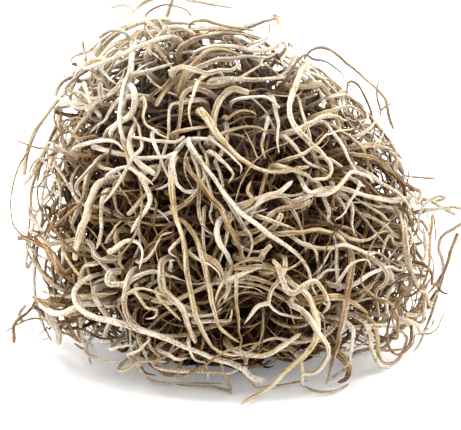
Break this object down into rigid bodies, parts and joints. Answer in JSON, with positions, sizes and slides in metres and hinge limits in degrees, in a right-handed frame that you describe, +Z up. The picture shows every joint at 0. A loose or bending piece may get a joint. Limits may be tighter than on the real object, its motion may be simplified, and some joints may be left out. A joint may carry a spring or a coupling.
{
  "type": "spanish moss bunch",
  "caption": "Loose rounded bunch of dried spanish moss: a springy tangle of curled pale threads with long forked shoots lying round it",
  "frame": {"origin": "on the surface that the bunch lies on, under the middle of its footprint", "axes": "+Z up; the fuller side, which is seen first, faces -Y; +X is the long way across, to the right of someone who looks along +Y"},
  "size_m": [0.1049, 0.0882, 0.0805],
  "materials": {
    "pale_thread": "dry and frosted with fine pale scales, matt",
    "straw_thread": "dry straw-brown thread with a few pale scales, matt",
    "olive_thread": "dry olive thread, slightly waxy",
    "dark_thread": "bare dark wiry thread, matt"
  },
  "bodies": {
    "root": {"moss_tangle": "pale_thread", "left_ring_run": "pale_thread", "front_long_drop": "pale_thread", "front_brown_drop": "straw_thread", "centre_long_slant": "pale_thread", "centre_ribbon": "olive_thread", "crown_left_loop": "pale_thread", "crown_thin_loop": "dark_thread", "crown_pale_loop": "pale_thread", "crown_olive_ridge": "olive_thread", "left_thick_slant": "straw_thread", "right_spiky_stem": "straw_thread", "crown_white_bend": "pale_thread", "upper_pale_drop": "pale_thread", "upper_pale_arch": "pale_thread", "middle_level_run": "pale_thread", "right_upper_wave": "pale_thread", "right_long_tip": "pale_thread", "centre_swoosh": "straw_thread", "centre_frosty_leaf": "pale_thread", "left_pale_drop": "pale_thread", "left_outer_spray": "pale_thread", "left_far_tip": "olive_thread", "left_floor_tip": "pale_thread", "lower_cream_arch": "pale_thread", "lower_blunt_stub": "pale_thread", "lower_long_slant": "pale_thread", "lower_wide_band": "pale_thread", "lower_white_fork": "pale_thread", "lower_great_ring": "pale_thread", "lower_right_ring": "pale_thread", "right_thick_needle": "straw_thread", "right_lower_loops": "pale_thread", "right_outer_drop": "pale_thread", "back_shoot_1": "pale_thread", "back_shoot_2": "pale_thread", "back_shoot_3": "pale_thread", "back_shoot_4": "pale_thread", "back_shoot_5": "pale_thread", "back_shoot_6": "pale_thread", "side_shoot_1": "pale_thread", "side_shoot_2": "pale_thread", "side_shoot_3": "pale_thread", "side_shoot_4": "pale_thread", "crown_shoot_1": "pale_thread", "crown_shoot_2": "pale_thread"}
  },
  "joints": []
}
